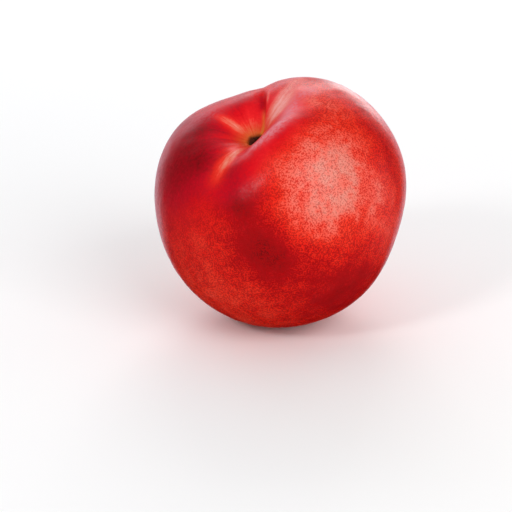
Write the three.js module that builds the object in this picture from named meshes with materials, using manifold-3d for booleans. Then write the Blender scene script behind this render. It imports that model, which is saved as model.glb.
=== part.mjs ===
// A whole nectarine, standing on a small flat spot on its underside.
// Millimetres, +Z up. The origin is the centre of the flat spot, -Y is the front.
//
// The skin is one closed surface r(theta, phi) in the fruit's own axes: theta runs down
// from the stem end to the blossom tip, phi runs round the stem axis from the seam.

import * as THREE from 'three';
import { mergeVertices } from 'three/addons/utils/BufferGeometryUtils.js';
import Module from 'manifold-3d';

// Body
const BODY_RADIUS = 35.8;
const STEM_END_FULLER = 0.012;
const MIDDLE_FULLER = 0.012;
const SHOULDER_FULLER = 0.012;
const SQUARENESS = 0.010;
const CHEEKS = 0.010;
const TIP_HEIGHT = 0.9;
const TIP_WIDTH = 0.28;

// Low swells and hollows of this fruit: theta and phi in degrees, width in degrees, height in mm
const SWELLS = [
  { name: 'stem shoulder', theta: 26, phi: -120, width: 20, height: 1.2 },
  { name: 'lower cheek', theta: 135, phi: -123, width: 26, height: -0.7 },
  { name: 'cheek taper', theta: 119, phi: -91, width: 26, height: -2.6 },
  { name: 'cheek middle', theta: 97, phi: -69, width: 26, height: 0.3 },
  { name: 'upper cheek', theta: 78, phi: -53, width: 26, height: 0.8 },
  { name: 'cheek shoulder', theta: 60, phi: -34, width: 26, height: 1.1 },
  { name: 'seam shoulder', theta: 47, phi: -11, width: 26, height: 0.6 },
  { name: 'beside the seam', theta: 41, phi: 23, width: 26, height: -2.5 },
  { name: 'left shoulder', theta: 47, phi: 63, width: 26, height: 1.2 },
  { name: 'left cheek', theta: 65, phi: 93, width: 26, height: 0.4 },
  { name: 'foot', theta: 157, phi: 153, width: 14, height: 0.8 },
  { name: 'ridge right of the seam', theta: 27, phi: -46, width: 9, height: 0.9 },
  { name: 'hollow right of the seam', theta: 24, phi: -18, width: 9, height: -0.5 },
  { name: 'lip before the scar', theta: 15, phi: -140, width: 8, height: 0.7 },
];

// Stem cavity: a funnel sunk along the stem axis, longer on one side and tighter on another,
// gone at the middle of the fruit, with a round scar in it
const CAVITY_DEPTH = 12.0;
const CAVITY_RADIUS = 10.0;
const CAVITY_POWER = 1.2;
const CAVITY_LONGER = 0.24;
const CAVITY_LONG_SIDE = -35;
const CAVITY_TIGHTER = 0.32;
const CAVITY_TIGHT_SIDE = -105;
const CAVITY_FLOOR_RADIUS = 1.8;
const CAVITY_FADE = [1.05, 1.6];
const SCAR_RADIUS = 2.3;
const SCAR_EDGE = 0.4;
const SCAR_DEPTH = 0.5;

// Seam: a soft valley with a narrow crease in it, steep on its right flank. It starts beside the
// scar and bears round the fruit as it runs down. The pairs are the values of theta between
// which a depth comes in or out.
const SEAM_DEPTH = 0.3;
const SEAM_WIDTH = 3.5;
const SEAM_SHOULDER = 0.42;
const SEAM_SHOULDER_SPAN = 0.36;
const SEAM_SIDE_DEPTH = 0.45;
const SEAM_SIDE_IN = [0.5, 0.9];
const SEAM_SIDE_OUT = [2.6, 3.05];
const CREASE_DEPTH = 1.5;
const CREASE_WIDTH = 0.45;
const CREASE_SLOPE = 4.2;
const CREASE_ROUNDING = 0.346;
const CREASE_IN = [0.10, 0.36];
const CREASE_OUT = [0.40, 0.56];
const CREASE_SIDE_SHARE = 0.18;
const SEAM_BEARING = 0.40;
const SEAM_BEARING_START = 0.49;
const SEAM_ASIDE = 1.1;
const SEAM_ASIDE_FADE = 0.10;

// Shallow valley that leads out of the cavity opposite the seam
const VALLEY_DEPTH = 1.35;
const VALLEY_WIDTH = 5.0;
const VALLEY_PHI = 160;
const VALLEY_SHOULDER = 0.40;
const VALLEY_SHOULDER_SPAN = 0.30;

// Cosines of the bearing between which the seam, and the valley, come in on their own side
const SEAM_SIDE_ON = [-0.15, 0.3];
const VALLEY_SIDE_ON = [-0.1, 0.4];

// How the fruit lies: turned about its stem axis, leant, then turned about the vertical
const SPIN = -152.9;
const LEAN = 27.8;
const HEADING = -132.5;
const CENTRE = new THREE.Vector3(1.1, 0.6, 35.3);

// Facets: rows from stem end to tip, columns round the stem axis
const ROWS = 56;
const COLUMNS = 90;
const ROWS_AT_STEM = 1.25;
const COLUMNS_AT_SEAM = 0.55;

const radians = THREE.MathUtils.degToRad;

function ramp([from, to], x) {
  return THREE.MathUtils.smoothstep(x, from, to);
}

function bell(x, width) {
  return Math.exp(-((x / width) ** 2));
}

function direction(theta, phi) {
  const level = Math.sin(theta);
  return new THREE.Vector3(level * Math.cos(phi), level * Math.sin(phi), Math.cos(theta));
}

// Bearing of the seam at one theta
function seamPhi(theta) {
  const aside = SEAM_ASIDE * Math.exp(-theta / SEAM_ASIDE_FADE);
  return SEAM_BEARING * (theta - SEAM_BEARING_START) - aside;
}

// Round body with a blossom tip, flatter cheeks and its own swells
function bodyRadius(theta, phi) {
  let radius = BODY_RADIUS * (
    1
    + STEM_END_FULLER * Math.cos(theta)
    - MIDDLE_FULLER * Math.cos(2 * theta)
    + SHOULDER_FULLER * Math.cos(3 * theta)
    - SQUARENESS * Math.cos(4 * theta)
  );
  radius += TIP_HEIGHT * bell(Math.PI - theta, TIP_WIDTH);
  radius *= 1 - CHEEKS * Math.sin(theta) ** 2 * Math.cos(2 * phi);
  const here = direction(theta, phi);
  for (const swell of SWELLS) {
    const apart = 1 - here.dot(direction(radians(swell.theta), radians(swell.phi)));
    radius += swell.height * Math.exp(-apart / (1 - Math.cos(radians(swell.width))));
  }
  return radius;
}

// How far the seam sinks the skin: deepest on the stem shoulder, faint down the side
function seamSink(theta, phi, radius) {
  const side = phi - seamPhi(theta);
  const across = radius * Math.sin(theta) * Math.sin(side);
  const downSide = ramp(SEAM_SIDE_IN, theta) * (1 - ramp(SEAM_SIDE_OUT, theta));
  const valley = SEAM_DEPTH * bell(theta - SEAM_SHOULDER, SEAM_SHOULDER_SPAN)
    + SEAM_SIDE_DEPTH * downSide;
  const crease = ramp(CREASE_IN, theta) * (1 - ramp(CREASE_OUT, theta))
    + CREASE_SIDE_SHARE * downSide;
  const soft = bell(across, SEAM_WIDTH);
  const flank = across > 0 ? CREASE_WIDTH * CREASE_SLOPE : CREASE_WIDTH;
  const sharp = Math.exp(CREASE_ROUNDING - Math.hypot(across / flank, CREASE_ROUNDING));
  return ramp(SEAM_SIDE_ON, Math.cos(side)) * (valley * soft + CREASE_DEPTH * crease * sharp);
}

// How far the valley opposite the seam sinks the skin
function valleySink(theta, phi, radius) {
  const side = phi - radians(VALLEY_PHI);
  const across = radius * Math.sin(theta) * Math.sin(side);
  const reach = ramp(VALLEY_SIDE_ON, Math.cos(side))
    * bell(theta - VALLEY_SHOULDER, VALLEY_SHOULDER_SPAN);
  return VALLEY_DEPTH * reach * bell(across, VALLEY_WIDTH);
}

// How far the stem cavity and its scar lower a point at one distance from the stem axis
function cavitySink(fromAxis, phi) {
  const longSide = Math.max(0, Math.cos(phi - radians(CAVITY_LONG_SIDE))) ** 2;
  const tightSide = Math.max(0, Math.cos(phi - radians(CAVITY_TIGHT_SIDE))) ** 2;
  const width = CAVITY_RADIUS * (1 + CAVITY_LONGER * longSide - CAVITY_TIGHTER * tightSide);
  const beyondFloor = Math.hypot(fromAxis, CAVITY_FLOOR_RADIUS) - CAVITY_FLOOR_RADIUS;
  const funnel = CAVITY_DEPTH * Math.exp(-((beyondFloor / width) ** CAVITY_POWER));
  const scarRim = [SCAR_RADIUS - SCAR_EDGE, SCAR_RADIUS + SCAR_EDGE];
  const scar = SCAR_DEPTH * (1 - ramp(scarRim, fromAxis));
  return funnel + scar;
}

function skinPoint(theta, phi) {
  const body = bodyRadius(theta, phi);
  const radius = body - seamSink(theta, phi, body) - valleySink(theta, phi, body);
  const point = direction(theta, phi).multiplyScalar(radius);
  const upperSide = 1 - ramp(CAVITY_FADE, theta);
  point.z -= upperSide * cavitySink(Math.hypot(point.x, point.y), phi);
  return point;
}

// Closed skin: one point at each pole, rings between them, columns that run along the seam
function skinGeometry() {
  const points = [skinPoint(0, 0)];
  for (let row = 1; row < ROWS; row += 1) {
    const theta = Math.PI * (row / ROWS) ** ROWS_AT_STEM;
    for (let column = 0; column < COLUMNS; column += 1) {
      const turn = (2 * Math.PI * column) / COLUMNS;
      const phi = turn - COLUMNS_AT_SEAM * Math.sin(turn) + seamPhi(theta);
      points.push(skinPoint(theta, phi));
    }
  }
  points.push(skinPoint(Math.PI, 0));

  const last = points.length - 1;
  const at = (row, column) => 1 + (row - 1) * COLUMNS + (column % COLUMNS);
  const faces = [];
  for (let column = 0; column < COLUMNS; column += 1) {
    faces.push(0, at(1, column), at(1, column + 1));
    for (let row = 1; row < ROWS - 1; row += 1) {
      faces.push(at(row, column), at(row + 1, column), at(row + 1, column + 1));
      faces.push(at(row, column), at(row + 1, column + 1), at(row, column + 1));
    }
    faces.push(at(ROWS - 1, column), last, at(ROWS - 1, column + 1));
  }
  const geometry = new THREE.BufferGeometry().setFromPoints(points);
  geometry.setIndex(faces);
  return geometry;
}

const wasm = await Module();
wasm.setup();

function toSolid(geometry) {
  const merged = mergeVertices(geometry);
  return new wasm.Manifold(new wasm.Mesh({
    numProp: 3,
    vertProperties: merged.getAttribute('position').array,
    triVerts: new Uint32Array(merged.index.array),
  }));
}

function toGeometry(solid) {
  const mesh = solid.getMesh();
  const geometry = new THREE.BufferGeometry();
  geometry.setAttribute('position', new THREE.BufferAttribute(mesh.vertProperties, 3));
  geometry.setIndex(new THREE.BufferAttribute(mesh.triVerts, 1));
  return geometry;
}

// Lay the fruit down, then take off what would reach below the ground
const lying = skinGeometry()
  .rotateZ(radians(SPIN))
  .rotateY(radians(LEAN))
  .rotateZ(radians(HEADING))
  .translate(CENTRE.x, CENTRE.y, CENTRE.z);
const groundSize = 4 * BODY_RADIUS;
const ground = new THREE.BoxGeometry(groundSize, groundSize, groundSize)
  .translate(0, 0, -groundSize / 2);
ground.deleteAttribute('normal');
ground.deleteAttribute('uv');

const skin = toGeometry(toSolid(lying).subtract(toSolid(ground)));
skin.computeVertexNormals();

const nectarine = new THREE.Mesh(skin, new THREE.MeshStandardMaterial({
  color: 0xc4262d,
  roughness: 0.38,
  metalness: 0,
}));
nectarine.name = 'nectarine';

const part = new THREE.Group();
part.name = 'whole_nectarine';
part.add(nectarine);

export default part;
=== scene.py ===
"""A whole nectarine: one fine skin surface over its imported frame, its finish, and a plain studio.

The skin is a closed surface r(theta, phi) in the fruit's own axes. theta runs down from the stem
end to the blossom tip, and phi runs round the stem axis from the seam. Metres, +Z up, -Y front.
"""

import math

import bpy
import numpy as np
from bpy.props import FloatProperty, FloatVectorProperty, IntProperty, PointerProperty
from bpy.types import Operator, Panel, PropertyGroup
from mathutils import Matrix, Vector


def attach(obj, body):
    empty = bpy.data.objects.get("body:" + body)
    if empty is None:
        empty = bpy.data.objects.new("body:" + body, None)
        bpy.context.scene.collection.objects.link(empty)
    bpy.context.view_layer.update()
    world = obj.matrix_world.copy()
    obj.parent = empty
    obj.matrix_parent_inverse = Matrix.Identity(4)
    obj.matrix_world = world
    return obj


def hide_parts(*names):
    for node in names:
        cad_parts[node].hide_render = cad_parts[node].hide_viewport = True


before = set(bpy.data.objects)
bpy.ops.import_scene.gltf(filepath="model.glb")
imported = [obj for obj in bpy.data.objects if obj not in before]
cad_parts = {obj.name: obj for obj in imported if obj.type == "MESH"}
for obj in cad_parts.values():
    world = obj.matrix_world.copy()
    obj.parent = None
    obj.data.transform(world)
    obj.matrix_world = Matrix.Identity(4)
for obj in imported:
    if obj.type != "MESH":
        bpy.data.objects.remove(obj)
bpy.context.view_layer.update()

bl_info = {
    "name": "Nectarine",
    "version": (1, 0, 0),
    "blender": (4, 5, 0),
    "location": "3D View > Sidebar > Nectarine",
    "description": "Builds a whole nectarine with speckled waxy skin, and its studio",
    "category": "Add Mesh",
}

MM = 0.001
NODE = "nectarine"
BODY = "root"

# How the fruit lies: turned about its stem axis, leant, then turned about the vertical, degrees
SPIN, LEAN, HEADING = -152.9, 27.8, -132.5
CENTRE = Vector((1.1, 0.6, 35.3)) * MM

# How softly the flat spot's edge turns, and the theta down to which the stem end's marks count
REST_EDGE = 0.12 * MM
UPPER_HALF = 1.5

# Round body: shares of its radius, and the blossom tip
STEM_END_FULLER = 0.012
MIDDLE_FULLER = 0.012
SHOULDER_FULLER = 0.012
SQUARENESS = 0.010
CHEEKS = 0.010
TIP_HEIGHT = 0.9 * MM
TIP_WIDTH = 0.28

# Low swells and hollows: theta, phi and width in degrees, height in millimetres
SWELLS = (
    ("stem shoulder", 26, -120, 20, 1.2),
    ("lower cheek", 135, -123, 26, -0.7),
    ("cheek taper", 119, -91, 26, -2.6),
    ("cheek middle", 97, -69, 26, 0.3),
    ("upper cheek", 78, -53, 26, 0.8),
    ("cheek shoulder", 60, -34, 26, 1.1),
    ("seam shoulder", 47, -11, 26, 0.6),
    ("beside the seam", 41, 23, 26, -2.5),
    ("left shoulder", 47, 63, 26, 1.2),
    ("left cheek", 65, 93, 26, 0.4),
    ("foot", 157, 153, 14, 0.8),
    ("ridge right of the seam", 27, -46, 9, 0.9),
    ("hollow right of the seam", 24, -18, 9, -0.5),
    ("lip before the scar", 15, -140, 8, 0.7),
)

# Stem cavity: where it is longer and tighter by phi, its floor, and where it fades out by theta
CAVITY_POWER = 1.2
CAVITY_LONGER = 0.24
CAVITY_LONG_SIDE = math.radians(-35)
CAVITY_TIGHTER = 0.32
CAVITY_TIGHT_SIDE = math.radians(-105)
CAVITY_FLOOR_RADIUS = 1.8 * MM
CAVITY_FADE = (1.05, 1.6)

# Scar in the cavity's floor: its edge, rim and relief, and how its outline wavers, as count, start
# and share of each sine
SCAR_EDGE = 0.35 * MM
SCAR_RIM = 0.12 * MM
SCAR_OUTLINE = ((3, 1.0, 0.06), (5, 0.0, 0.04))
SCAR_RELIEF = 0.10 * MM
SCAR_FIBRES = 23
SCAR_FIBRE_SWAY = ((3, 0.0, 4.0),)
SCAR_FIBRES_IN = (0.1, 0.5)
SCAR_RING_STEP = 9.0
SCAR_RING_SWAY = ((2, 0.0, 1.0),)

# Puckers round the scar: their sines, how their bearings waver, and their reach in scar radii
PUCKERS = ((9, 0.5 * math.pi, 1.0), (14, 0.5 * math.pi + 1.3, 0.6))
PUCKER_SWAY = ((2, 0.6, 0.25), (3, 0.0, 0.12))
PUCKERS_IN = (0.8, 2.2)
PUCKERS_FADE = 3.6

# Low waves in the skin, and finer ones that have a share of their height: seed of the draw, how
# many, and the fewest and most radians of wave across one radius
LOW_WAVES = {"seed": 11, "count": 9, "lowest": 5.0, "highest": 11.0}
FINE_WAVES = {"seed": 12, "count": 14, "lowest": 30.0, "highest": 60.0}
FINE_WAVE_SHARE = 0.18

# Seam: where each of its depths comes in and fades out by theta, the crease's form, and how the
# seam turns as it runs down
SEAM_SHOULDER, SEAM_SHOULDER_SPAN = 0.42, 0.36
SEAM_SIDE_DEPTH = 0.45 * MM
SEAM_SIDE_IN = (0.5, 0.9)
SEAM_SIDE_OUT = (2.6, 3.05)
CREASE_ROUNDING = 0.346
CREASE_IN = (0.10, 0.36)
CREASE_OUT = (0.40, 0.56)
CREASE_SIDE_SHARE = 0.18
CREASE_SLOPE = 4.2
SEAM_BEARING = 0.40
SEAM_BEARING_START = 0.49
SEAM_ASIDE = 1.1
SEAM_ASIDE_FADE = 0.10
SEAM_SIDE_ON = (-0.15, 0.3)

# Valley that leads out of the cavity opposite the seam
VALLEY_PHI = math.radians(160)
VALLEY_WIDTH = 5.0 * MM
VALLEY_SHOULDER, VALLEY_SHOULDER_SPAN = 0.40, 0.30
VALLEY_SIDE_ON = (-0.1, 0.4)

# Facets: more rows at the stem end, more columns beside the seam
ROWS_AT_STEM = 1.35
COLUMNS_AT_SEAM = 0.55

# Painted shade in the crease: its pigment, its ends by theta, its place and width in crease widths
CREASE_PAINTED_SHADE = 0.78
CREASE_RED_IN = (0.22, 0.36)
CREASE_RED_OUT = (0.46, 0.56)
CREASE_RED_ASIDE, CREASE_RED_WIDTH = 2.1, 2.3

# The blush's pigment, and where the skin is redder or paler or darkened as painted shade: theta,
# phi and width in degrees, and the share of pigment added
BLUSH = 0.55
PATCHES = (
    ("pale cheek", 54, -120, 17, -0.30),
    ("pale cheek, lower", 63, -138, 20, -0.20),
    ("pale shoulder", 38, -108, 13, -0.08),
    ("right wall of the cavity", 18, -42, 7, -0.16),
    # Painted shade: the front and the lower cheek are darkened where something close in front would
    # shade them
    ("painted shade at the front", 68, -170, 17, 0.34),
    ("painted shade at the front, lower", 76, -160, 10, 0.06),
    ("painted shade at the front, upper", 46, -176, 12, 0.26),
    ("painted shade on the lower cheek", 106, -144, 28, 0.32),
    ("dark left lobe", 36, 122, 26, 0.30),
    ("dark left shoulder", 24, 82, 13, 0.16),
    ("dark left of the valley", 27, 138, 8, 0.10),
    ("dark right of the valley", 28, 178, 8, 0.12),
    ("dark left cheek", 72, 110, 34, 0.14),
    ("red beside the cavity", 29, -92, 9, 0.19),
    ("red before the cavity", 24, -128, 8, 0.14),
    ("red right shoulder", 60, -70, 16, 0.14),
    ("red right cheek", 78, -84, 12, 0.12),
    ("paler right cheek, lower", 94, -112, 12, -0.09),
    ("dark back shoulder", 52, -40, 14, 0.14),
    ("dark back wall", 26, 20, 9, 0.22),
    ("tan right cheek", 75, -110, 8, -0.18),
    ("bright right shoulder", 43, -72, 10, -0.10),
    ("paler front cheek", 56, -160, 7, -0.06),
    ("bright shoulder beside the cavity", 31, -66, 7, -0.12),
    ("dark left back shoulder", 42, 72, 13, 0.10),
    ("pale back", 70, -10, 26, -0.12),
    ("pale underside", 140, 20, 34, -0.22),
)

# Skin without flecks: the cavity and its lip by theta, then patches as theta, phi and width, and
# how strongly those clear it
BARE_UP_TO = (0.37, 0.64)
BARE_PATCHES = ((40, 122, 24), (34, 178, 12))
BARE_STRENGTH = 1.3

# Pale streaks that run out of the cavity: phi and theta from and to in degrees, half width in
# millimetres, share of pigment taken away, share of gold, how far phi counts from the seam, 0 or 1
STREAKS = (
    ("left wall", 61, 6, 22, 1.6, 0.38, 0.14, 0.0),
    ("left wall, beside the seam", 20, 3, 13, 2.2, 0.12, 0.0, 0.0),
    ("front valley", 160, 9, 36, 2.3, 0.47, 0.24, 0.0),
    ("right wall", -26, 6, 46, 1.9, 0.32, 0.0, 1.0),
    ("right wall, soft", -38, 10, 34, 2.4, 0.26, 0.0, 1.0),
    ("crest beside the seam", -5, 18, 34, 0.5, 0.20, 0.0, 1.0),
)

# Where a streak comes in from its start and goes out from its end, in shares of its length
STREAK_IN = (-0.2, 0.3)
STREAK_OUT = (-0.5, 0.2)

# Cosines of the bearing from a line between which its far side of the fruit fades
SAME_SIDE = (0.0, 0.5)

# Yellow ground round the scar and at the seam's foot: shares, widths, and the foot's end by theta
YELLOW_ROUND_SCAR = 1.1
YELLOW_RADIUS = 1.5
YELLOW_MIDDLE = 0.5 * MM
YELLOW_IN_SEAM = 0.55
SEAM_FOOT_ASIDE, SEAM_FOOT_WIDTH = 0.1 * MM, 0.55 * MM
SEAM_FOOT_OUT = (0.20, 0.36)

# Bark's edge in scar radii, theta up to which the walls' run shows, the tip's mark, and how much
# theta counts in the run
BARK_EDGE = (0.80, 1.12)
INSIDE_UP_TO = (0.22, 0.62)
TIP_MARK = 0.03
RUN_DOWN = 0.35

# Painted sheen, a mauve veil along the turned edges: width in degrees, share, then a line of theta
# and phi
PAINTED_SHEENS = (
    ("lip of the cavity", 3.1, 0.88,
     ((17, -158), (17.6, -144), (18, -130), (18.3, -117), (18.5, -107))),
    ("lip of the cavity, front", 2.6, 0.28, ((21, -170), (18, -160), (16, -152))),
    ("lip of the cavity, right", 4.0, 0.56, ((18.8, -98), (19, -78), (24, -57), (33, -50))),
    ("right cheek", 12.0, 0.08, ((74, -101), (96, -109))),
    ("ridge right of the seam", 3.2, 0.42, ((30, -7), (37, -14), (44, -18))),
    ("right shoulder", 5.0, 0.18, ((42, -51), (49, -63))),
    ("back rim", 3.5, 0.25, ((31, 8), (28, 20), (27, 33))),
    ("left lobe", 6.5, 0.25, ((27, 60), (34, 78), (42, 91))),
)

# Noises of the finish: scales in cycles a metre, and those of the wall for each unit of its run
BLOTCHES = {"scale": 190.0, "detail": 6.0, "roughness": 0.65}
GRAIN = {"scale": 1100.0, "detail": 2.0, "roughness": 0.6}
WALL_RUN = {"scale": 4.5, "detail": 4.0, "roughness": 0.6, "distortion": 0.4}
WALL_TEARS = {"scale": 11.0, "detail": 3.0, "roughness": 0.7}
FLECKS = {"detail": 0.3, "roughness": 0.5, "distortion": 0.4}
BARK = {"scale": 1600.0, "detail": 4.0, "roughness": 0.7}
PORES = {"scale": 1300.0, "detail": 3.0, "roughness": 0.6}
DENTS = {"scale": 330.0, "detail": 2.0}
SPARKLE = {"scale": 1500.0, "detail": 1.0}

# Steps that cut those noises and the blush: from low and high, to low and high
BLOTCH_TEAR = (0.36, 0.64, -1.0, 1.0)
BLOTCH_BY_BLUSH = (0.30, 0.80, 0.105, 0.05)
WALL_TEAR = (0.30, 0.62, 0.60, 1.18)
FLECK_LEVEL = (0.10, 0.85, 0.57, 0.48)
FLECK_EDGE = (-0.040, 0.050)
PAINTED_SHEEN_GRAIN = (0.36, 0.62, 0.50, 1.40)
YELLOW_GRAIN = (0.35, 0.65, 1.0, 0.6)
ROUGH_GRAIN = (0.3, 0.7)

# Shares of pigment that the grain and the cavity's run add and take, about the noises' middle
GRAIN_SHARE = 0.20
WALL_RUN_SHARE = 0.40
NOISE_MIDDLE = 0.5

# Colours of the skin, each at its pigment, and of the bark, each at its noise
PLAIN_COLOURS = (
    (0.05, "blond"), (0.30, "rose"), (0.50, "red"),
    (0.66, "deep_red"), (0.80, "wine"), (1.0, "maroon"),
)
SPECKLED_COLOURS = (
    (0.05, "pale"), (0.30, "salmon"), (0.52, "orange_red"),
    (0.67, "fire_red"), (0.82, "crimson"), (1.0, "maroon"),
)
FLECK_COLOURS = ((0.12, "fleck_on_pale"), (0.38, "fleck_on_salmon"), (0.75, "fleck_on_red"))
BARK_COLOURS = ((0.3, "scar_dark"), (0.7, "scar_light"))

# Gloss: index of refraction, strength, coat, and how much the grain and the scar roughen it
INDEX = 1.38
GLOSS = 0.15
COAT_ROUGHNESS = 0.16
SMOOTHER, ROUGHER, SCAR_ROUGHER = 0.05, 0.07, 0.45

# Finest relief, each a strength and a height: pores, dents, and the coat's sparkle
PORE_RELIEF = (0.45, 0.05 * MM)
DENT_RELIEF = (0.5, 0.10 * MM)
SPARKLE_RELIEF = (0.8, 0.08 * MM)

# Studio: sensor in millimetres, clipping and floor in metres, the floor's paper, and the strength
# of the light all round with the lamps' tints
SENSOR = 36.0
CLIP = (0.01, 20.0)
FLOOR_HALF = 3.0
FLOOR_PAPER = (0.93, 0.93, 0.93, 1.0)
FLOOR_ROUGHNESS = 0.9
SURROUNDINGS = 0.54
WHITE = (1.0, 1.0, 1.0)
COOL = (0.84, 0.88, 1.0)

# Lamps: place, width and height in metres, power in watts, tint
LAMPS = (
    ("key", (0.65, -0.90, 0.70), 0.9, 0.9, 8.4, WHITE),
    ("front_left", (-0.66, -0.75, 0.72), 0.22, 0.22, 3.0, WHITE),
    ("back_right", (0.04, 1.05, 0.61), 0.50, 0.52, 3.4, WHITE),
    ("edge_right", (0.40, 1.20, 0.22), 0.46, 0.40, 2.9, WHITE),
    ("back_left", (-0.45, 1.00, 0.50), 0.6, 0.6, 2.1, COOL),
)
RIM_CARD_PLACE = (-0.2, 1.5, -0.35)
RIM_CARD_AIM = (-0.2, 0.0, -0.35)
RIM_CARD_SIZE = (2.2, 1.0)
RIM_CARD_POWER = 9.8


def step(x, ends):
    """Eased step: 0 before the first end, 1 after the second, a cubic between them."""
    t = np.clip((x - ends[0]) / (ends[1] - ends[0]), 0.0, 1.0)
    return t * t * (3.0 - 2.0 * t)


def bell(x, width):
    """Bell curve: 1 at zero, falling to 1/e at one width."""
    return np.exp(-((x / width) ** 2))


def sines(angle, parts):
    """Sum of sines of an angle, each with its count round the circle, its start and its share."""
    return sum(share * np.sin(count * angle + start) for count, start, share in parts)


def direction(theta, phi):
    """Unit vectors at theta from the stem axis and phi round it."""
    theta, phi = np.broadcast_arrays(theta, phi)
    level = np.sin(theta)
    return np.stack([level * np.cos(phi), level * np.sin(phi), np.cos(theta)], axis=-1)


def patch(here, theta, phi, width):
    """Round soft patch on the unit sphere: 1 at its middle, 1/e at its width, all in degrees."""
    middle = direction(math.radians(theta), math.radians(phi))
    apart = 1.0 - here @ middle
    return np.exp(-apart / (1.0 - math.cos(math.radians(width))))


def band(here, places, width):
    """Soft band on the unit sphere along a line of places: 1 on the line, 1/e at its width."""
    ends = direction(*np.radians(np.array(places, dtype=float)).T)
    nearest = np.full(here.shape[:-1], np.inf)
    for start, end in zip(ends[:-1], ends[1:]):
        along = end - start
        share = np.clip((here - start) @ along / (along @ along), 0.0, 1.0)
        gap = here - start - share[..., None] * along
        nearest = np.minimum(nearest, (gap**2).sum(axis=-1))
    return bell(np.sqrt(nearest), math.radians(width))


def seam_phi(theta):
    """Bearing of the seam: it starts beside the scar, and turns slowly as it runs down."""
    aside = SEAM_ASIDE * np.exp(-theta / SEAM_ASIDE_FADE)
    return SEAM_BEARING * (theta - SEAM_BEARING_START) - aside


def waves(here, seed, count, lowest, highest):
    """Sum of sine waves across the unit sphere in random directions, of even total strength."""
    draw = np.random.default_rng(seed)
    headings = draw.normal(size=(count, 3))
    headings /= np.linalg.norm(headings, axis=1, keepdims=True)
    steps = draw.uniform(lowest, highest, size=(count, 1))
    starts = draw.uniform(0.0, 2.0 * math.pi, size=count)
    return np.sin(here @ (headings * steps).T + starts).sum(axis=-1) / math.sqrt(count)


def body_radius(form, theta, phi, here):
    """Round body: a radius with small cosines of theta, a tip, flatter cheeks and the swells."""
    radius = form.body_radius * (
        1.0
        + STEM_END_FULLER * np.cos(theta)
        - MIDDLE_FULLER * np.cos(2.0 * theta)
        + SHOULDER_FULLER * np.cos(3.0 * theta)
        - SQUARENESS * np.cos(4.0 * theta)
    )
    radius = radius + TIP_HEIGHT * bell(math.pi - theta, TIP_WIDTH)
    radius = radius * (1.0 - CHEEKS * np.sin(theta) ** 2 * np.cos(2.0 * phi))
    for _, at_theta, at_phi, width, height in SWELLS:
        radius = radius + height * MM * patch(here, at_theta, at_phi, width)
    return radius


def seam_lines(form, theta, phi, radius):
    """The seam's distance across in metres, its strength along, and how far it sinks the skin.

    A soft bell-shaped valley and a narrow crease, e to the minus distance, steep on one flank."""
    side = phi - seam_phi(theta)
    across = radius * np.sin(theta) * np.sin(side)
    down_side = step(theta, SEAM_SIDE_IN) * (1.0 - step(theta, SEAM_SIDE_OUT))
    near_side = step(np.cos(side), SEAM_SIDE_ON)
    valley = form.seam_depth * bell(theta - SEAM_SHOULDER, SEAM_SHOULDER_SPAN)
    valley = valley + SEAM_SIDE_DEPTH * down_side
    strength = step(theta, CREASE_IN) * (1.0 - step(theta, CREASE_OUT))
    strength = strength + CREASE_SIDE_SHARE * down_side
    flank = form.crease_width * np.where(across > 0.0, CREASE_SLOPE, 1.0)
    sharp = np.exp(CREASE_ROUNDING - np.hypot(across / flank, CREASE_ROUNDING))
    sink = valley * bell(across, form.seam_width) + strength * form.crease_depth * sharp
    return across, near_side * strength, near_side * sink


def valley_sink(form, theta, phi, radius):
    """Shallow valley opposite the seam, a bell across and a bell along."""
    side = phi - VALLEY_PHI
    across = radius * np.sin(theta) * np.sin(side)
    reach = step(np.cos(side), VALLEY_SIDE_ON) * bell(
        theta - VALLEY_SHOULDER, VALLEY_SHOULDER_SPAN
    )
    return form.valley_depth * reach * bell(across, VALLEY_WIDTH)


def cavity_sink(form, from_axis, phi):
    """Funnel along the stem axis, e to the minus a power of the distance from its floor."""
    long_side = np.clip(np.cos(phi - CAVITY_LONG_SIDE), 0.0, 1.0) ** 2
    tight_side = np.clip(np.cos(phi - CAVITY_TIGHT_SIDE), 0.0, 1.0) ** 2
    width = form.cavity_radius * (1.0 + CAVITY_LONGER * long_side - CAVITY_TIGHTER * tight_side)
    beyond_floor = np.hypot(from_axis, CAVITY_FLOOR_RADIUS) - CAVITY_FLOOR_RADIUS
    return form.cavity_depth * np.exp(-((beyond_floor / width) ** CAVITY_POWER))


def scar_sink(form, from_axis, phi):
    """Round scar: a sunk disc with a low rim, and fibres and rings in its floor.

    The edge is a radius with small sines of phi. The fibres are one sine of phi, swayed by another,
    and the rings are a cosine of the distance from the middle, swayed by phi."""
    edge = form.scar_radius * (1.0 + sines(phi, SCAR_OUTLINE))
    inside = 1.0 - step(from_axis, (edge - SCAR_EDGE, edge + SCAR_EDGE))
    rim = SCAR_RIM * bell(from_axis - edge - SCAR_EDGE, SCAR_EDGE)
    out = from_axis / edge
    fibres = np.sin(SCAR_FIBRES * phi + sines(phi, SCAR_FIBRE_SWAY)) * step(out, SCAR_FIBRES_IN)
    rings = np.cos(out * SCAR_RING_STEP + sines(phi, SCAR_RING_SWAY))
    floor = SCAR_RELIEF * (fibres + rings) * inside
    return inside * form.scar_depth + floor - rim


def pucker_height(form, from_axis, phi):
    """Low radial puckers round the scar: two sines of an uneven bearing, gone past the wall."""
    uneven = phi + sines(phi, PUCKER_SWAY)
    out = from_axis / form.scar_radius
    reach = step(out, PUCKERS_IN) * bell(out, PUCKERS_FADE)
    return form.pucker_height * sines(uneven, PUCKERS) * reach


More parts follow.
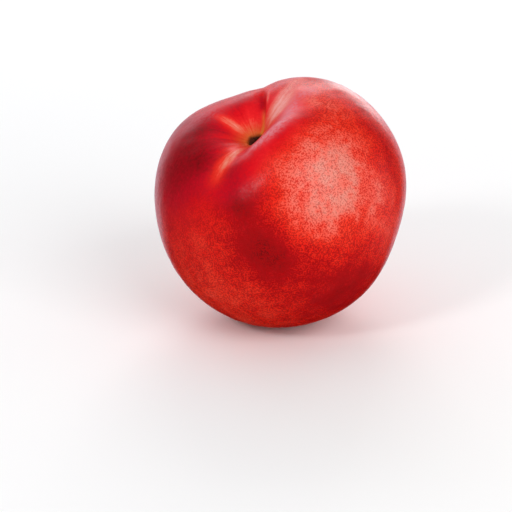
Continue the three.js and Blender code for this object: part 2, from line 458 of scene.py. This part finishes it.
def lie_down(points):
    """Turns fruit axes into the frame's axes and sets the fruit down, flat where it touches.

    A height z becomes half of z and the root of z squared plus a small edge squared."""
    turn = (
        Matrix.Rotation(math.radians(HEADING), 3, "Z")
        @ Matrix.Rotation(math.radians(LEAN), 3, "Y")
        @ Matrix.Rotation(math.radians(SPIN), 3, "Z")
    )
    lying = points @ np.array(turn).T + np.array(CENTRE)
    height = lying[..., 2]
    lying[..., 2] = 0.5 * (height + np.hypot(height, REST_EDGE))
    return lying


def skin_surface(form, theta, phi):
    """Points of the skin in metres, and the fields that its finish follows.

    The radius is the body's, less the seam's and the valley's sinks, plus the waves. The cavity,
    the scar and the puckers then move the point along the stem axis."""
    here = direction(theta, phi)
    body = body_radius(form, theta, phi, here)
    across, seam, seam_down = seam_lines(form, theta, phi, body)
    radius = body - seam_down - valley_sink(form, theta, phi, body)
    radius = radius + form.unevenness * waves(here, **LOW_WAVES)
    radius = radius + FINE_WAVE_SHARE * form.unevenness * waves(here, **FINE_WAVES)
    points = here * radius[..., None]
    from_axis = np.hypot(points[..., 0], points[..., 1])
    sink = cavity_sink(form, from_axis, phi) + scar_sink(form, from_axis, phi)
    sink = sink - pucker_height(form, from_axis, phi)
    upper = 1.0 - step(theta, CAVITY_FADE)
    points[..., 2] -= sink * upper
    fields = skin_fields(form, theta, phi, here, across, seam, from_axis)
    return lie_down(points), fields


def streak_fields(theta, phi, from_axis):
    """Pale streaks: a bell across the run and a step in and out along it, and their gold."""
    pale = np.zeros(theta.shape)
    golden = np.zeros(theta.shape)
    for _, at_phi, start, end, half_width, share, gold, from_seam in STREAKS:
        side = phi - math.radians(at_phi) - from_seam * seam_phi(theta)
        aside = from_axis * np.sin(side) / (half_width * MM)
        start, end = math.radians(start), math.radians(end)
        length = end - start
        along = step((theta - start) / length, STREAK_IN)
        along = along * (1.0 - step((theta - end) / length, STREAK_OUT))
        line = step(np.cos(side), SAME_SIDE) * along * bell(aside, 1.0)
        pale = pale + share * line
        golden = golden + gold * line
    return pale, golden


def pigment_field(form, theta, here, across, seam):
    """Red pigment: the blush and the patches' shares, some of them painted shade, and painted shade
    in the crease.
    """
    pigment = np.full(theta.shape, BLUSH)
    for _, at_theta, at_phi, width, share in PATCHES:
        pigment = pigment + share * patch(here, at_theta, at_phi, width)
    # Painted shade in the crease: one flank is drawn toward a deep red
    aside = across / form.crease_width - CREASE_RED_ASIDE
    crease = step(theta, CREASE_RED_IN) * (1.0 - step(theta, CREASE_RED_OUT))
    crease = crease * (seam > 0.0) * bell(aside, CREASE_RED_WIDTH)
    return pigment + crease * (CREASE_PAINTED_SHADE - pigment)


def yellow_field(form, theta, phi, across, from_axis):
    """Yellow ground: a bell round the scar, and a narrow bell in the foot of the seam."""
    lower_half = theta >= UPPER_HALF
    near_scar = np.where(lower_half, 1.0, np.hypot(from_axis, YELLOW_MIDDLE))
    stem_end = bell(near_scar, YELLOW_RADIUS * form.scar_radius)
    foot = bell(across - SEAM_FOOT_ASIDE, SEAM_FOOT_WIDTH)
    foot = foot * step(np.cos(phi - seam_phi(theta)), SAME_SIDE)
    foot = foot * (1.0 - step(theta, SEAM_FOOT_OUT))
    return YELLOW_ROUND_SCAR * stem_end + YELLOW_IN_SEAM * foot


def speckled_field(theta, here):
    """Flecked skin: all of it but the cavity, its lip and the bare patches."""
    bare = 1.0 - step(theta, BARE_UP_TO)
    for at_theta, at_phi, width in BARE_PATCHES:
        bare = bare + BARE_STRENGTH * patch(here, at_theta, at_phi, width)
    return 1.0 - np.clip(bare, 0.0, 1.0)


def painted_sheen_field(here):
    """Painted sheen along the turned edges: the strongest of its bands at each point."""
    painted_sheen = np.zeros(here.shape[:-1])
    for _, width, share, places in PAINTED_SHEENS:
        painted_sheen = np.maximum(painted_sheen, share * band(here, places, width))
    return painted_sheen


def skin_fields(form, theta, phi, here, across, seam, from_axis):
    """What the finish follows at each point: colours with their painted sheen and shade, scar, tip,
    and the run of the streaks.
    """
    streaks, golden = streak_fields(theta, phi, from_axis)
    yellow = yellow_field(form, theta, phi, across, from_axis) + golden
    bark = 1.0 - step(from_axis / form.scar_radius, BARK_EDGE)
    return {
        "pigment": pigment_field(form, theta, here, across, seam),
        "streaks": streaks,
        "yellow": np.clip(yellow, 0.0, 1.0),
        "inside": 1.0 - step(theta, INSIDE_UP_TO),
        "speckled": speckled_field(theta, here),
        "painted_sheen": painted_sheen_field(here),
        "scar": bark * (theta < UPPER_HALF),
        "tip": bell(math.pi - theta, TIP_MARK),
        "run": np.stack([np.cos(phi), np.sin(phi), RUN_DOWN * theta], axis=-1),
    }


def closed_grid(rows, columns):
    """Faces of a closed skin: one point at each pole, and rings of points between them."""
    ring = np.arange(columns)
    following = (ring + 1) % columns
    last = 1 + (rows - 1) * columns
    start = 1 + columns * np.arange(rows - 2)[:, None]
    quads = np.stack(
        [start + ring, start + columns + ring, start + columns + following, start + following],
        axis=-1,
    ).reshape(-1, 4)
    stem = np.stack([np.zeros(columns, int), 1 + ring, 1 + following], axis=-1)
    bottom = last - columns
    tip = np.stack([bottom + ring, np.full(columns, last), bottom + following], axis=-1)
    return quads, np.concatenate([stem, tip])


def skin_angles(rows, columns):
    """theta and phi at each point, pole first and last, with columns that run along the seam."""
    share = np.arange(1, rows) / rows
    theta = math.pi * share**ROWS_AT_STEM
    turn = 2.0 * math.pi * np.arange(columns) / columns
    phi = (turn - COLUMNS_AT_SEAM * np.sin(turn))[None, :] + seam_phi(theta)[:, None]
    theta = np.broadcast_to(theta[:, None], phi.shape)
    theta = np.concatenate([[0.0], theta.ravel(), [math.pi]])
    phi = np.concatenate([[0.0], phi.ravel(), [0.0]])
    return theta, phi


def make_mesh(name, points, quads, triangles, fields):
    """A smooth mesh from whole arrays, with each field as an attribute of its points."""
    mesh = bpy.data.meshes.new(name)
    loops = np.concatenate([quads.ravel(), triangles.ravel()])
    sizes = np.concatenate([np.full(len(quads), 4), np.full(len(triangles), 3)])
    starts = np.concatenate([[0], np.cumsum(sizes)[:-1]])
    mesh.vertices.add(len(points))
    mesh.vertices.foreach_set("co", points.astype(np.float32).ravel())
    mesh.loops.add(len(loops))
    mesh.loops.foreach_set("vertex_index", loops.astype(np.int32))
    mesh.polygons.add(len(sizes))
    mesh.polygons.foreach_set("loop_start", starts.astype(np.int32))
    mesh.update(calc_edges=True)
    mesh.polygons.foreach_set("use_smooth", np.ones(len(sizes), bool))
    for field, values in fields.items():
        if values.ndim == 2:
            layer = mesh.attributes.new(field, "FLOAT_VECTOR", "POINT")
            layer.data.foreach_set("vector", values.astype(np.float32).ravel())
        else:
            layer = mesh.attributes.new(field, "FLOAT", "POINT")
            layer.data.foreach_set("value", values.astype(np.float32).ravel())
    mesh.validate()
    mesh.update()
    return mesh


class Board:
    """A material's node tree, with short calls for the nodes that a finish is made of."""

    def __init__(self, tree):
        self.tree = tree

    def add(self, kind, inputs=(), **settings):
        """Adds a node, sets its settings, and fills its inputs with values or links."""
        node = self.tree.nodes.new(kind)
        for name, value in settings.items():
            setattr(node, name, value)
        for key, value in dict(inputs).items():
            if isinstance(value, bpy.types.NodeSocket):
                self.tree.links.new(value, node.inputs[key])
            else:
                node.inputs[key].default_value = value
        return node

    def field(self, name):
        """A field of the mesh, as a number."""
        return self.add("ShaderNodeAttribute", attribute_name=name).outputs["Fac"]

    def math(self, operation, a, b=0.0, c=0.0, clamp=False):
        """One sum on two or three numbers."""
        inputs = {0: a, 1: b, 2: c}
        node = self.add("ShaderNodeMath", inputs, operation=operation, use_clamp=clamp)
        return node.outputs[0]

    def step(self, value, low, high, to_low=0.0, to_high=1.0):
        """Eased step of a number from one range to another."""
        inputs = {
            "Value": value,
            "From Min": low,
            "From Max": high,
            "To Min": to_low,
            "To Max": to_high,
        }
        node = self.add("ShaderNodeMapRange", inputs, interpolation_type="SMOOTHSTEP")
        return node.outputs["Result"]

    def noise(self, vector, scale, detail, roughness=0.5, distortion=0.0):
        """Noise about one half, at a scale in cycles for each unit of the vector."""
        inputs = {
            "Vector": vector,
            "Scale": scale,
            "Detail": detail,
            "Roughness": roughness,
            "Distortion": distortion,
        }
        return self.add("ShaderNodeTexNoise", inputs).outputs["Fac"]

    def relief(self, height, strength_and_distance, under=None):
        """Bump from a height, on top of another where one is given."""
        strength, distance = strength_and_distance
        inputs = {"Height": height, "Strength": strength, "Distance": distance}
        if under:
            inputs["Normal"] = under
        return self.add("ShaderNodeBump", inputs).outputs["Normal"]

    def mix(self, share, a, b):
        """Blend of two colours."""
        node = self.add("ShaderNodeMix", {"Factor": share}, data_type="RGBA")
        for socket, colour in ((node.inputs[6], a), (node.inputs[7], b)):
            if isinstance(colour, bpy.types.NodeSocket):
                self.tree.links.new(colour, socket)
            else:
                socket.default_value = (*colour, 1.0)
        return node.outputs[2]

    def ramp(self, value, skin, stops):
        """Colour ramp through the skin's named colours, each at its place between 0 and 1."""
        node = self.add("ShaderNodeValToRGB", {"Fac": value})
        elements = node.color_ramp.elements
        elements.remove(elements[0])
        for number, (place, name) in enumerate(stops):
            element = elements[0] if number == 0 else elements.new(place)
            element.position = place
            element.color = (*getattr(skin, name), 1.0)
        return node.outputs["Color"]


def flecks(board, place, size, pigment):
    """Short curved flecks: where a noise lies above a level that falls as the pigment rises."""
    wander = board.noise(place, 1.0 / size, **FLECKS)
    level = board.step(pigment, *FLECK_LEVEL)
    above = board.math("SUBTRACT", wander, level)
    return board.step(above, *FLECK_EDGE)


def torn_pigment(board, blush, speckled, place, run, grain, wall_run):
    """The blush, torn by blotches and grain, by the run inside the cavity, and by pale streaks."""
    blotch = board.step(board.noise(place, **BLOTCHES), *BLOTCH_TEAR)
    blotch_share = board.math("MULTIPLY", board.step(blush, *BLOTCH_BY_BLUSH), speckled)
    tear = board.step(board.noise(run, **WALL_TEARS), *WALL_TEAR)
    from_run = board.math("SUBTRACT", wall_run, NOISE_MIDDLE)
    shares = (
        (board.math("MULTIPLY", blotch, blotch_share), 1.0),
        (board.math("SUBTRACT", grain, NOISE_MIDDLE), GRAIN_SHARE),
        (board.math("MULTIPLY", from_run, board.field("inside")), WALL_RUN_SHARE),
        (board.math("MULTIPLY", board.field("streaks"), tear), -1.0),
    )
    pigment = blush
    for part, share in shares:
        pigment = board.math("MULTIPLY_ADD", part, share, pigment)
    return board.math("MAXIMUM", pigment, 0.0, clamp=True)


def blushed_skin(board, skin, pigment, speckled, place):
    """Ground that runs from pale to maroon with the pigment, under flecks where it is speckled."""
    plain = board.ramp(pigment, skin, PLAIN_COLOURS)
    between = board.ramp(pigment, skin, SPECKLED_COLOURS)
    spot = board.ramp(pigment, skin, FLECK_COLOURS)
    ground = board.mix(speckled, plain, between)
    fleck = board.math("MULTIPLY", flecks(board, place, skin.fleck_size, pigment), speckled)
    return board.mix(fleck, ground, spot)


def skin_colour(board, skin, place, grain):
    """Blushed skin, then painted sheen, then yellow ground round the scar, then the bark of scar
    and tip.
    """
    run = board.add("ShaderNodeAttribute", attribute_name="run").outputs["Vector"]
    wall_run = board.noise(run, **WALL_RUN)
    speckled = board.field("speckled")
    blush = board.field("pigment")
    pigment = torn_pigment(board, blush, speckled, place, run, grain, wall_run)
    red = blushed_skin(board, skin, pigment, speckled, place)
    # Painted sheen: the turned edges are mixed toward a mauve veil, broken up by the grain
    painted_sheen_share = board.math("MULTIPLY", board.field("painted_sheen"), board.step(grain, *PAINTED_SHEEN_GRAIN))
    with_painted_sheen = board.mix(painted_sheen_share, red, skin.painted_sheen)
    near_scar = board.math("MULTIPLY", board.field("yellow"), board.step(wall_run, *YELLOW_GRAIN))
    coloured = board.mix(near_scar, with_painted_sheen, skin.ground)
    bark = board.ramp(board.noise(place, **BARK), skin, BARK_COLOURS)
    coloured = board.mix(board.field("scar"), coloured, bark)
    return board.mix(board.field("tip"), coloured, bark)


def skin_material(skin):
    """Waxy fruit skin: a satin gloss with pores and dents, under a thin sparkling coat."""
    material = bpy.data.materials.new("waxy_skin")
    material.use_nodes = True
    board = Board(material.node_tree)
    place = board.add("ShaderNodeTexCoord").outputs["Object"]
    grain = board.noise(place, **GRAIN)
    smooth, rough = skin.roughness - SMOOTHER, skin.roughness + ROUGHER
    grainy = board.step(grain, *ROUGH_GRAIN, smooth, rough)
    scarred = board.math("MULTIPLY", board.field("scar"), SCAR_ROUGHER)
    pores = board.relief(board.noise(place, **PORES), PORE_RELIEF)
    links = {
        "Base Color": skin_colour(board, skin, place, grain),
        "Roughness": board.math("ADD", grainy, scarred, clamp=True),
        "Normal": board.relief(board.noise(place, **DENTS), DENT_RELIEF, pores),
        "Coat Normal": board.relief(board.noise(place, **SPARKLE), SPARKLE_RELIEF),
    }
    shader = material.node_tree.nodes["Principled BSDF"]
    for name, socket in links.items():
        material.node_tree.links.new(socket, shader.inputs[name])
    shader.inputs["IOR"].default_value = INDEX
    shader.inputs["Specular IOR Level"].default_value = GLOSS
    shader.inputs["Coat Weight"].default_value = skin.wax
    shader.inputs["Coat Roughness"].default_value = COAT_ROUGHNESS
    return material


def floor_paper():
    """Plain matt paper of the floor."""
    material = bpy.data.materials.new("floor_paper")
    material.use_nodes = True
    shader = material.node_tree.nodes["Principled BSDF"]
    shader.inputs["Base Color"].default_value = FLOOR_PAPER
    shader.inputs["Roughness"].default_value = FLOOR_ROUGHNESS
    return material


def lamp_panel(name, place, aim, width, height, power, tint):
    """A soft panel of light at a place, facing the aim."""
    lamp = bpy.data.lights.new(name, "AREA")
    lamp.shape = "RECTANGLE"
    lamp.size, lamp.size_y = width, height
    lamp.energy = power
    lamp.color = tint
    panel = bpy.data.objects.new(name, lamp)
    panel.location = place
    panel.rotation_euler = (Vector(aim) - Vector(place)).to_track_quat("-Z", "Y").to_euler()
    bpy.context.scene.collection.objects.link(panel)
    return panel


class NectarineForm(PropertyGroup):
    """Sizes of the fruit."""

    body_radius: FloatProperty(
        name="Body radius", description="Mean radius of the fruit",
        default=35.8 * MM, unit="LENGTH",
    )
    cavity_depth: FloatProperty(
        name="Cavity depth", description="How far the stem cavity sinks the stem end",
        default=12.0 * MM, unit="LENGTH",
    )
    cavity_radius: FloatProperty(
        name="Cavity radius", description="How wide the stem cavity opens",
        default=10.0 * MM, unit="LENGTH",
    )
    scar_radius: FloatProperty(
        name="Scar radius", description="Radius of the stem scar",
        default=2.3 * MM, unit="LENGTH",
    )
    scar_depth: FloatProperty(
        name="Scar depth", description="How far the scar lies below the skin round it",
        default=0.5 * MM, unit="LENGTH",
    )
    seam_depth: FloatProperty(
        name="Seam depth", description="Depth of the soft valley along the seam",
        default=0.3 * MM, unit="LENGTH",
    )
    seam_width: FloatProperty(
        name="Seam width", description="Half width of the soft valley along the seam",
        default=3.5 * MM, unit="LENGTH",
    )
    crease_depth: FloatProperty(
        name="Crease depth", description="Depth of the narrow crease in the seam",
        default=1.5 * MM, unit="LENGTH",
    )
    crease_width: FloatProperty(
        name="Crease width", description="Width of the crease's steep flank",
        default=0.45 * MM, unit="LENGTH",
    )
    valley_depth: FloatProperty(
        name="Valley depth", description="Depth of the valley opposite the seam",
        default=1.35 * MM, unit="LENGTH",
    )
    pucker_height: FloatProperty(
        name="Pucker height", description="Height of the puckers round the scar",
        default=0.05 * MM, unit="LENGTH",
    )
    unevenness: FloatProperty(
        name="Unevenness", description="Height of the low waves in the skin",
        default=0.10 * MM, unit="LENGTH",
    )
    rows: IntProperty(
        name="Rows", description="Rings of faces from the stem end to the tip",
        default=300, min=40, max=320,
    )
    columns: IntProperty(
        name="Columns", description="Faces in each ring",
        default=324, min=40, max=324,
    )


class NectarineSkin(PropertyGroup):
    """Colours and finish of the skin."""

    pale: FloatVectorProperty(
        name="Pale", description="Palest ground, with the least pigment",
        default=(0.71, 0.275, 0.215), subtype="COLOR", size=3, min=0.0, max=1.0,
    )
    salmon: FloatVectorProperty(
        name="Salmon", description="Ground with a little pigment",
        default=(0.80, 0.140, 0.098), subtype="COLOR", size=3, min=0.0, max=1.0,
    )
    blond: FloatVectorProperty(
        name="Blond", description="Palest streak of the cavity's walls",
        default=(0.91, 0.35, 0.310), subtype="COLOR", size=3, min=0.0, max=1.0,
    )
    rose: FloatVectorProperty(
        name="Rose", description="Skin without flecks, with a little pigment",
        default=(0.84, 0.150, 0.110), subtype="COLOR", size=3, min=0.0, max=1.0,
    )
    red: FloatVectorProperty(
        name="Red", description="Bright red blush",
        default=(0.84, 0.014, 0.018), subtype="COLOR", size=3, min=0.0, max=1.0,
    )
    orange_red: FloatVectorProperty(
        name="Orange red", description="Ground between the flecks round the pale cheek",
        default=(0.80, 0.034, 0.013), subtype="COLOR", size=3, min=0.0, max=1.0,
    )
    fire_red: FloatVectorProperty(
        name="Fire red", description="Ground between the flecks on the red cheek",
        default=(0.72, 0.010, 0.003), subtype="COLOR", size=3, min=0.0, max=1.0,
    )
    deep_red: FloatVectorProperty(
        name="Deep red", description="Strong red blush",
        default=(0.68, 0.002, 0.008), subtype="COLOR", size=3, min=0.0, max=1.0,
    )
    crimson: FloatVectorProperty(
        name="Crimson", description="Deep blush",
        default=(0.42, 0.0005, 0.003), subtype="COLOR", size=3, min=0.0, max=1.0,
    )
    wine: FloatVectorProperty(
        name="Wine", description="Deep blush without flecks, a little bluer",
        default=(0.46, 0.0005, 0.010), subtype="COLOR", size=3, min=0.0, max=1.0,
    )
    maroon: FloatVectorProperty(
        name="Maroon", description="Darkest blush",
        default=(0.12, 0.0003, 0.001), subtype="COLOR", size=3, min=0.0, max=1.0,
    )
    fleck_on_pale: FloatVectorProperty(
        name="Fleck on pale skin", description="Brownish flecks where there is little pigment",
        default=(0.54, 0.138, 0.105), subtype="COLOR", size=3, min=0.0, max=1.0,
    )
    fleck_on_salmon: FloatVectorProperty(
        name="Fleck on salmon skin", description="Red flecks where there is some pigment",
        default=(0.61, 0.024, 0.012), subtype="COLOR", size=3, min=0.0, max=1.0,
    )
    fleck_on_red: FloatVectorProperty(
        name="Fleck on red skin", description="Dark red flecks on the blush",
        default=(0.34, 0.0, 0.001), subtype="COLOR", size=3, min=0.0, max=1.0,
    )
    # Colour of the painted sheen along the turned edges
    painted_sheen: FloatVectorProperty(
        name="Painted sheen", description="Mauve haze along the turned edges",
        default=(0.72, 0.165, 0.195), subtype="COLOR", size=3, min=0.0, max=1.0,
    )
    ground: FloatVectorProperty(
        name="Stem end ground", description="Yellow green round the scar",
        default=(0.66, 0.21, 0.030), subtype="COLOR", size=3, min=0.0, max=1.0,
    )
    scar_dark: FloatVectorProperty(
        name="Scar, dark", description="Darkest of the scar",
        default=(0.014, 0.002, 0.001), subtype="COLOR", size=3, min=0.0, max=1.0,
    )
    scar_light: FloatVectorProperty(
        name="Scar, light", description="Lightest of the scar",
        default=(0.11, 0.022, 0.009), subtype="COLOR", size=3, min=0.0, max=1.0,
    )
    fleck_size: FloatProperty(
        name="Fleck size", description="Spacing of the flecks",
        default=0.39 * MM, unit="LENGTH",
    )
    roughness: FloatProperty(
        name="Roughness", description="Roughness of the skin",
        default=0.35, min=0.0, max=1.0,
    )
    wax: FloatProperty(
        name="Wax", description="Strength of the thin waxy coat",
        default=0.08, min=0.0, max=1.0,
    )


class NectarineStudio(PropertyGroup):
    """Camera and light."""

    elevation: FloatProperty(
        name="Elevation", description="Height of the camera above the horizon",
        default=math.radians(22.0), subtype="ANGLE", unit="ROTATION",
    )
    distance: FloatProperty(
        name="Distance", description="Distance from the camera to the fruit's centre",
        default=0.65, unit="LENGTH",
    )
    lens: FloatProperty(
        name="Focal length", description="Focal length in millimetres, on a sensor 36 mm wide",
        default=160.0,
    )
    right: FloatProperty(
        name="Off centre, across", description="How far right of the fruit the view's middle is",
        default=-7.49 * MM, unit="LENGTH",
    )
    up: FloatProperty(
        name="Off centre, up", description="How far above the fruit the view's middle is",
        default=-15.51 * MM, unit="LENGTH",
    )
    light: FloatProperty(
        name="Light", description="Strength of all lights together",
        default=1.0, min=0.0,
    )


class NECTARINE_OT_studio(Operator):
    """Makes the camera at the photograph's viewing angle, a pale floor and soft light"""

    bl_idname = "nectarine.studio"
    bl_label = "Make the studio"

    def execute(self, context):
        scene = context.scene
        studio = scene.nectarine_studio
        scene.view_settings.view_transform = "Standard"
        self.camera(scene, studio)
        self.floor(scene)
        self.lights(studio)
        self.world(scene, studio)
        return {"FINISHED"}

    def camera(self, scene, studio):
        """A long lens that looks down at the fruit from the front."""
        camera = bpy.data.objects.new("camera", bpy.data.cameras.new("camera"))
        camera.data.lens = studio.lens
        camera.data.sensor_width = SENSOR
        camera.data.clip_start, camera.data.clip_end = CLIP
        right = Vector((1.0, 0.0, 0.0))
        up = Vector((0.0, math.sin(studio.elevation), math.cos(studio.elevation)))
        back = Vector((0.0, -math.cos(studio.elevation), math.sin(studio.elevation)))
        aim = CENTRE + right * studio.right + up * studio.up
        camera.location = aim + back * studio.distance
        camera.rotation_euler = (math.pi / 2.0 - studio.elevation, 0.0, 0.0)
        scene.collection.objects.link(camera)
        scene.camera = camera

    def floor(self, scene):
        """A plain pale sheet under the fruit."""
        corners = ((-1, -1), (1, -1), (1, 1), (-1, 1))
        points = [(x * FLOOR_HALF, y * FLOOR_HALF, 0.0) for x, y in corners]
        mesh = bpy.data.meshes.new("floor")
        mesh.from_pydata(points, [], [(0, 1, 2, 3)])
        floor = bpy.data.objects.new("floor", mesh)
        mesh.materials.append(floor_paper())
        scene.collection.objects.link(floor)
        floor.visible_glossy = False
        floor.visible_shadow = False

    def lights(self, studio):
        """Soft lamps round the fruit, and a card behind it that shows only in its glossy rim."""
        for name, place, width, height, power, tint in LAMPS:
            lamp_panel(name, place, CENTRE, width, height, power * studio.light, tint)
        power = RIM_CARD_POWER * studio.light
        card = lamp_panel("rim_card", RIM_CARD_PLACE, RIM_CARD_AIM, *RIM_CARD_SIZE, power, COOL)
        card.visible_camera = False
        card.visible_diffuse = False

    def world(self, scene, studio):
        """Even white surroundings that the gloss doesn't mirror."""
        world = bpy.data.worlds.new("surroundings")
        world.use_nodes = True
        background = world.node_tree.nodes["Background"]
        background.inputs["Color"].default_value = (*WHITE, 1.0)
        background.inputs["Strength"].default_value = SURROUNDINGS * studio.light
        scene.world = world
        world.cycles_visibility.glossy = False


class NECTARINE_OT_fruit(Operator):
    """Makes the nectarine's skin in place of the plain solid"""

    bl_idname = "nectarine.fruit"
    bl_label = "Make the fruit"

    def execute(self, context):
        form = context.scene.nectarine_form
        theta, phi = skin_angles(form.rows, form.columns)
        points, fields = skin_surface(form, theta, phi)
        quads, triangles = closed_grid(form.rows, form.columns)
        mesh = make_mesh("nectarine_skin", points, quads, triangles, fields)
        mesh.materials.append(skin_material(context.scene.nectarine_skin))
        fruit = bpy.data.objects.new("nectarine_skin", mesh)
        context.scene.collection.objects.link(fruit)
        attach(fruit, BODY)
        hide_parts(NODE)
        return {"FINISHED"}


class NECTARINE_PT_panel(Panel):
    """Lists the steps and their settings"""

    bl_label = "Nectarine"
    bl_space_type = "VIEW_3D"
    bl_region_type = "UI"
    bl_category = "Nectarine"

    def draw(self, context):
        scene = context.scene
        for operator, group in (
            (NECTARINE_OT_studio, scene.nectarine_studio),
            (NECTARINE_OT_fruit, scene.nectarine_form),
            (None, scene.nectarine_skin),
        ):
            box = self.layout.box()
            if operator:
                box.operator(operator.bl_idname)
            for name in group.__annotations__:
                box.prop(group, name)


CLASSES = (
    NectarineForm,
    NectarineSkin,
    NectarineStudio,
    NECTARINE_OT_studio,
    NECTARINE_OT_fruit,
    NECTARINE_PT_panel,
)


def register():
    """Registers the classes and hangs their settings on the scene."""
    for made in CLASSES:
        bpy.utils.register_class(made)
    bpy.types.Scene.nectarine_form = PointerProperty(type=NectarineForm)
    bpy.types.Scene.nectarine_skin = PointerProperty(type=NectarineSkin)
    bpy.types.Scene.nectarine_studio = PointerProperty(type=NectarineStudio)


def unregister():
    """Takes the settings and the classes away again."""
    del bpy.types.Scene.nectarine_studio
    del bpy.types.Scene.nectarine_skin
    del bpy.types.Scene.nectarine_form
    for made in reversed(CLASSES):
        bpy.utils.unregister_class(made)


def main():
    """Registers the add-on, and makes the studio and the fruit."""
    register()
    bpy.ops.nectarine.studio()
    bpy.ops.nectarine.fruit()


if __name__ == "__main__":
    main()
